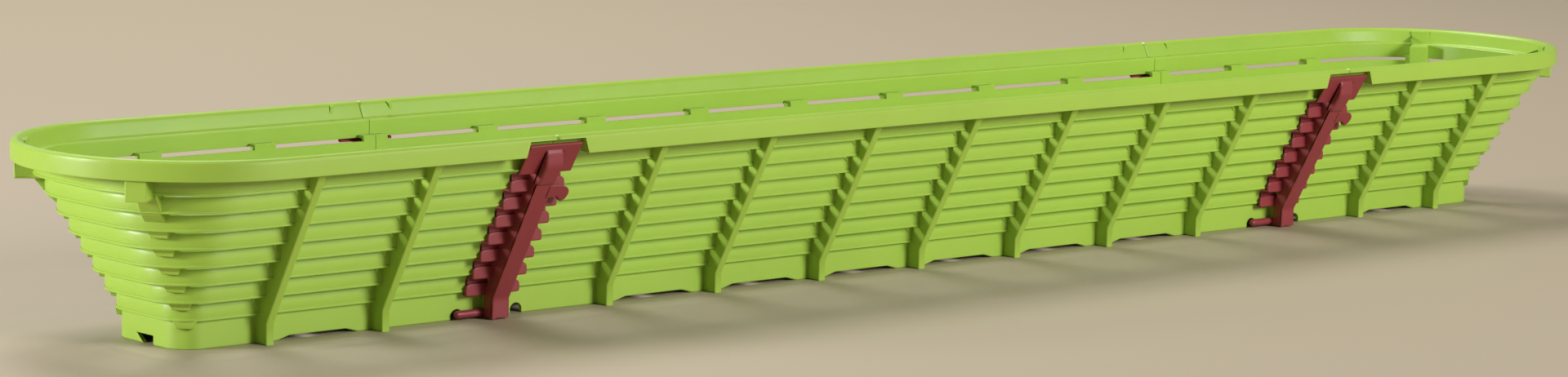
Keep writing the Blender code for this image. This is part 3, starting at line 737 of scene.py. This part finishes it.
def clip_ear():
    """The rounded finger ear to the right of the spine, hooked at its foot."""
    outline = [
        (2.6, 60.6), (10.0, 60.2), (13.4, 59.2), (15.2, 56.9), (14.6, 54.2), (12.6, 52.6),
        (10.8, 53.6), (9.0, 55.4), (2.6, 54.4),
    ]
    outline = softened(outline, [0.3, 1.5, 2.2, 2.2, 1.6, 1.2, 0.8, 0.8, 0.3])
    across, level, depth = plate(outline, 2.2, 0.6)
    return spine_reach(level) - 1.0 + depth, across, level


def clip_arm():
    """The round arm on the hinge line, with a domed free end: its radius follows a table
    along it, on sixteen points round."""
    along = np.array([-18.8, -18.6, -18.1, -17.3, -14.4, -14.3, -3.6])
    radius = np.array([0.3, 1.0, 1.5, arm_radius, arm_radius, arm_radius, arm_radius])
    turn = np.arange(16) * math.pi / 8
    reach = hinge_reach + radius[:, None] * np.cos(turn)
    level = hinge_level + radius[:, None] * np.sin(turn)
    return reach, np.broadcast_to(along[:, None], reach.shape), level


def placed_clip(grids, seam_x, side):
    """Clip points (reach, across, level) at a seam; those at the back are turned half round."""
    made = []
    for reach, across, level in grids:
        points = np.stack((seam_x - side * across, side * reach, level), axis=-1)
        made.append(closed_skin(points))
    return made


dark_red = moulded_plastic("dark_red_plastic", (0.270, 0.035, 0.042), roughness=0.42, depth=0.08)
clip_grids = [part(ring) for ring in range(top_ring) for part in (clip_shelf, clip_tile)]
clip_grids += [clip_top(), clip_spine_wall(-spine_side), clip_spine_wall(spine_side)]
clip_grids += [clip_spine_back(), clip_block(), clip_ear(), clip_arm()]
for row, side in (("front", front), ("back", back)):
    for column, way in (("left", -1), ("right", 1)):
        node = f"clip_{row}_{column}"
        made = placed_clip(clip_grids, way * seam, side)
        make_piece(f"{node}_plastic", made, dark_red, node, node)


# The table
# A plain warm pale sheet, flat under the basket and wide enough for every view. It is
# the stage and no part of the basket.
sheet_half = 9.0


def table_sheet():
    """The corners of a square that faces the camera: u times the camera's level right plus
    v times its heading, for u and v at less and plus sheet_half, in metres."""
    reach = np.array([-sheet_half, sheet_half])
    return reach[:, None, None] * np.array(level_right) + reach[None, :, None] * np.array(heading)


sheet_mesh = bpy.data.meshes.new("backdrop")
sheet_mesh.from_pydata(table_sheet().reshape(-1, 3).tolist(), [], [(0, 2, 3, 1)])
backdrop = bpy.data.objects.new("backdrop", sheet_mesh)
bpy.context.collection.objects.link(backdrop)
paper = bpy.data.materials.new("warm_paper")
paper.use_nodes = True
paper_shader = paper.node_tree.nodes["Principled BSDF"]
paper_shader.inputs["Base Color"].default_value = (0.43, 0.355, 0.25, 1)
paper_shader.inputs["Roughness"].default_value = 0.6
sheet_mesh.materials.append(paper)


# The light
# A soft lamp low at the left, behind the line of the long side, so that it reaches only
# the rounded ends; one at the front right for the long side; and a wide one overhead, a
# little behind, so that the soft shadow falls in front. Places are in metres.
def soft_lamp(name, place, size, power, target):
    """A square lamp that faces a target."""
    lamp = bpy.data.objects.new(name, bpy.data.lights.new(name, "AREA"))
    lamp.data.size = size
    lamp.data.energy = power
    bpy.context.collection.objects.link(lamp)
    lamp.location = place
    lamp.rotation_euler = (Vector(target) - Vector(place)).to_track_quat("-Z", "Y").to_euler()


soft_lamp("left", (-1.5, 0.45, 0.34), size=0.25, power=17, target=(-0.3, 0, 0.55))
soft_lamp("front", (0.65, -2.2, 0.95), size=0.8, power=48, target=(0.1, 0, 0.04))
soft_lamp("overhead", (0.3, 1.4, 2.2), size=1.4, power=62, target=(0.6, 0.8, 0))
world = bpy.data.worlds.new("room")
world.use_nodes = True
world.node_tree.nodes["Background"].inputs["Color"].default_value = (1.0, 0.97, 0.92, 1)
world.node_tree.nodes["Background"].inputs["Strength"].default_value = 0.14
bpy.context.scene.world = world
bpy.context.scene.view_settings.view_transform = "Standard"
